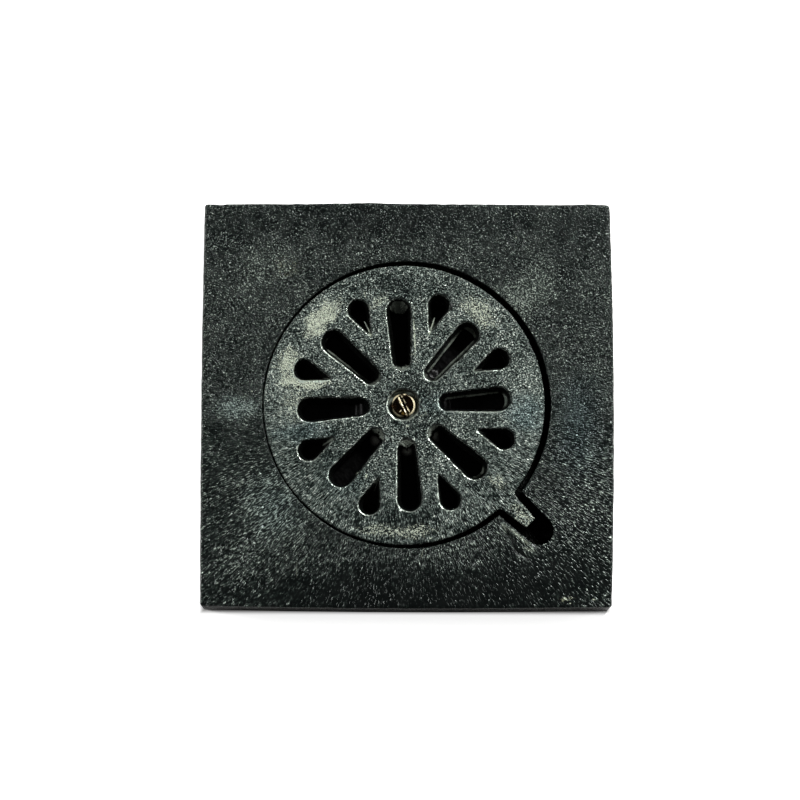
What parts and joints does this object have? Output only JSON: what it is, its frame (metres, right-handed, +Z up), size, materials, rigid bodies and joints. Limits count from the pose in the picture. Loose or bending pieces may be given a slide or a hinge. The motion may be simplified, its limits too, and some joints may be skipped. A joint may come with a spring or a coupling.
{
  "type": "drain grate",
  "caption": "Square cast-iron floor drain frame with a drop-in round slotted grate, a lifting tab in its pocket, a low bell below and a brass centre screw.",
  "frame": {"origin": "centre of the frame's foot, below the middle of its round hole", "axes": "+Z up out of the top face, +X to the right and +Y to the back, with the lifting tab towards +X and -Y"},
  "size_m": [0.2044, 0.2019, 0.025],
  "materials": {
    "frame_iron": "sand-cast, painted black, grainy, with grey wear and dust",
    "grate_iron": "sand-cast, black paint worn grey, with cream dust",
    "bell_iron": "sand-cast, black bitumen paint",
    "screw_brass": "turned brass, dark with tarnish, bright at its worn edges"
  },
  "bodies": {
    "root": {"frame": "frame_iron", "grate": "grate_iron", "bell": "bell_iron", "centre_screw": "screw_brass"}
  },
  "joints": []
}
